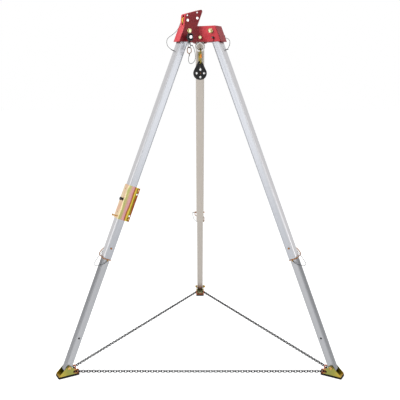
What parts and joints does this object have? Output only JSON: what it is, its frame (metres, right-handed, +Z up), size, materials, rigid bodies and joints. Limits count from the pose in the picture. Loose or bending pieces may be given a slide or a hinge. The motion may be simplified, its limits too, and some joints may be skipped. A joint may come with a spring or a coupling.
{
  "type": "rescue tripod",
  "caption": "Folding rescue tripod with telescopic square aluminium legs, a red plate head with a rope tower, eye bolt, carabiner, pulley block, swivel feet and a foot chain.",
  "frame": {"origin": "middle of the bounding box, on the floor that the three pads stand on", "axes": "+Z up, +X to the viewer's right, +Y away from the viewer towards the back leg"},
  "size_m": [1.9154, 1.6618, 2.3824],
  "materials": {
    "leg_aluminium": "satin anodised",
    "red_powder_coat": "gloss powder coat",
    "yellow_zinc": "iridescent yellow zinc",
    "bright_zinc": "bright zinc plate",
    "steel": "machined steel",
    "galvanised_chain": "dull galvanised",
    "steel_wire": "stranded wire",
    "bronze_ring": "dull bronze",
    "black_rubber": "moulded",
    "black_plastic": "moulded",
    "block_black": "satin black",
    "orange_anodised": "anodised"
  },
  "bodies": {
    "head": {"head_plate_front": "red_powder_coat", "head_plate_right": "red_powder_coat", "head_plate_left": "red_powder_coat", "head_bands": "red_powder_coat", "hub": "steel", "hub_bolts": "yellow_zinc", "eye_bolt": "bright_zinc", "pivot_bolts": "yellow_zinc", "tower": "red_powder_coat", "tower_bolts": "yellow_zinc"},
    "sheave_outer": {"sheave_outer": "yellow_zinc"},
    "sheave_inner": {"sheave_inner": "yellow_zinc"},
    "leg_left": {"outer_tube_left": "leg_aluminium", "pivot_sleeve_left": "steel", "lanyards_left": "steel_wire", "winch_bracket": "yellow_zinc", "bracket_bolts": "yellow_zinc"},
    "lower_leg_left": {"inner_tube_left": "leg_aluminium", "glide_left": "black_plastic", "chain_left": "galvanised_chain"},
    "foot_left": {"foot_bracket_left": "yellow_zinc", "foot_pad_left": "black_rubber", "foot_bolt_left": "yellow_zinc"},
    "lock_pin_left": {"lock_pin_left": "yellow_zinc"},
    "head_pin_left": {"head_pin_left": "black_plastic", "pin_ring": "bronze_ring", "lanyard_pin": "steel_wire"},
    "pin_button_left": {"pin_button_left": "bright_zinc"},
    "leg_right": {"outer_tube_right": "leg_aluminium", "pivot_sleeve_right": "steel", "lanyards_right": "steel_wire"},
    "lower_leg_right": {"inner_tube_right": "leg_aluminium", "glide_right": "black_plastic", "chain_right": "galvanised_chain"},
    "foot_right": {"foot_bracket_right": "yellow_zinc", "foot_pad_right": "black_rubber", "foot_bolt_right": "yellow_zinc"},
    "lock_pin_right": {"lock_pin_right": "yellow_zinc"},
    "head_pin_right": {"head_pin_right": "black_plastic"},
    "pin_button_right": {"pin_button_right": "bright_zinc"},
    "leg_back": {"outer_tube_back": "leg_aluminium", "pivot_sleeve_back": "steel", "lanyard_back": "steel_wire"},
    "lower_leg_back": {"inner_tube_back": "leg_aluminium", "glide_back": "black_plastic", "chain_back": "galvanised_chain"},
    "foot_back": {"foot_bracket_back": "yellow_zinc", "foot_pad_back": "black_rubber", "foot_bolt_back": "yellow_zinc"},
    "lock_pin_back": {"lock_pin_back": "yellow_zinc"},
    "head_pin_back": {"head_pin_back": "black_plastic"},
    "pin_button_back": {"pin_button_back": "bright_zinc"},
    "carabiner": {"carabiner": "yellow_zinc"},
    "carabiner_gate": {"carabiner_gate": "yellow_zinc"},
    "carabiner_sleeve": {"carabiner_sleeve": "orange_anodised"},
    "pulley_block": {"block_cheek_front": "block_black", "block_cheek_rear": "block_black", "block_axle": "steel"},
    "block_sheave": {"block_sheave": "steel"},
    "bracket_plunger": {"bracket_plunger": "black_plastic"}
  },
  "joints": [
    {"name": "fold_left", "type": "hinge", "parent": "head", "child": "leg_left", "pos_m": [-0.09232, -0.31237, 2.24495], "axis": [0.5, -0.866, 0], "range_deg": [0, 22.3], "deforming": ["lanyards_left", "chain_left"]},
    {"name": "telescope_left", "type": "slide", "parent": "leg_left", "child": "lower_leg_left", "axis": [0.3336, 0.1926, 0.9228], "range_m": [0, 0.632]},
    {"name": "foot_tilt_left", "type": "hinge", "parent": "lower_leg_left", "child": "foot_left", "pos_m": [-0.88006, -0.76718, 0.0662], "axis": [0.5, -0.866, 0], "range_deg": [-22, 12]},
    {"name": "bail_swing_left", "type": "hinge", "parent": "leg_left", "child": "lock_pin_left", "pos_m": [-0.60113, -0.60614, 0.83767], "axis": [0.5, -0.866, 0], "range_deg": [-100, 0]},
    {"name": "head_pin_pull_left", "type": "slide", "parent": "head", "child": "head_pin_left", "axis": [0.5, -0.866, 0], "range_m": [0, 0.1], "deforming": ["lanyard_pin"]},
    {"name": "button_press_left", "type": "slide", "parent": "head_pin_left", "child": "pin_button_left", "axis": [-0.5, 0.866, 0], "range_m": [0, 0.004], "stiffness_N_per_m": 1500, "springref_m": -0.002},
    {"name": "fold_right", "type": "hinge", "parent": "head", "child": "leg_right", "pos_m": [0.09232, -0.31237, 2.24495], "axis": [0.5, 0.866, 0], "range_deg": [0, 22.3], "deforming": ["lanyards_right", "chain_right"]},
    {"name": "telescope_right", "type": "slide", "parent": "leg_right", "child": "lower_leg_right", "axis": [-0.3336, 0.1926, 0.9228], "range_m": [0, 0.632]},
    {"name": "foot_tilt_right", "type": "hinge", "parent": "lower_leg_right", "child": "foot_right", "pos_m": [0.88006, -0.76718, 0.0662], "axis": [0.5, 0.866, 0], "range_deg": [-22, 12]},
    {"name": "bail_swing_right", "type": "hinge", "parent": "leg_right", "child": "lock_pin_right", "pos_m": [0.60113, -0.60614, 0.83767], "axis": [0.5, 0.866, 0], "range_deg": [-100, 0]},
    {"name": "head_pin_pull_right", "type": "slide", "parent": "head", "child": "head_pin_right", "axis": [0.5, 0.866, 0], "range_m": [0, 0.1]},
    {"name": "button_press_right", "type": "slide", "parent": "head_pin_right", "child": "pin_button_right", "axis": [-0.5, -0.866, 0], "range_m": [0, 0.004], "stiffness_N_per_m": 1500, "springref_m": -0.002},
    {"name": "fold_back", "type": "hinge", "parent": "head", "child": "leg_back", "pos_m": [0, -0.15247, 2.24495], "axis": [-1, 0, 0], "range_deg": [0, 22.3], "deforming": ["lanyard_back", "chain_back"]},
    {"name": "telescope_back", "type": "slide", "parent": "leg_back", "child": "lower_leg_back", "axis": [0, -0.3853, 0.9228], "range_m": [0, 0.632]},
    {"name": "foot_tilt_back", "type": "hinge", "parent": "lower_leg_back", "child": "foot_back", "pos_m": [0, 0.75713, 0.0662], "axis": [-1, 0, 0], "range_deg": [-22, 12]},
    {"name": "bail_swing_back", "type": "hinge", "parent": "leg_back", "child": "lock_pin_back", "pos_m": [0, 0.43505, 0.83767], "axis": [-1, 0, 0], "range_deg": [-100, 0]},
    {"name": "head_pin_pull_back", "type": "slide", "parent": "head", "child": "head_pin_back", "axis": [-1, 0, 0], "range_m": [0, 0.1]},
    {"name": "button_press_back", "type": "slide", "parent": "head_pin_back", "child": "pin_button_back", "axis": [1, 0, 0], "range_m": [0, 0.004], "stiffness_N_per_m": 1500, "springref_m": -0.002},
    {"name": "sheave_outer_spin", "type": "hinge", "parent": "head", "child": "sheave_outer", "pos_m": [-0.09732, -0.3245, 2.31095], "axis": [0.5, -0.866, 0], "continuous": true},
    {"name": "sheave_inner_spin", "type": "hinge", "parent": "head", "child": "sheave_inner", "pos_m": [-0.03497, -0.2885, 2.32695], "axis": [0.5, -0.866, 0], "continuous": true},
    {"name": "carabiner_swing", "type": "hinge", "parent": "head", "child": "carabiner", "pos_m": [0, -0.25907, 2.1192], "axis": [1, 0, 0], "range_deg": [-30, 30]},
    {"name": "gate_open", "type": "hinge", "parent": "carabiner", "child": "carabiner_gate", "pos_m": [0.00562, -0.28343, 2.06475], "axis": [-0.9744, -0.225, 0], "range_deg": [0, 20], "stiffness_Nm_per_rad": 0.12, "springref_deg": -20.05},
    {"name": "sleeve_travel", "type": "slide", "parent": "carabiner_gate", "child": "carabiner_sleeve", "axis": [0, 0, 1], "range_m": [0, 0.006]},
    {"name": "block_swing", "type": "hinge", "parent": "carabiner", "child": "pulley_block", "pos_m": [0, -0.25907, 2.03795], "axis": [-0.225, 0.9744, 0], "range_deg": [-60, 60]},
    {"name": "block_sheave_spin", "type": "hinge", "parent": "pulley_block", "child": "block_sheave", "pos_m": [0, -0.25907, 1.97095], "axis": [-0.225, 0.9744, 0], "continuous": true},
    {"name": "plunger_pull", "type": "slide", "parent": "leg_left", "child": "bracket_plunger", "axis": [-0.7992, -0.4614, 0.3853], "range_m": [0, 0.007], "stiffness_N_per_m": 1200, "springref_m": -0.002}
  ]
}
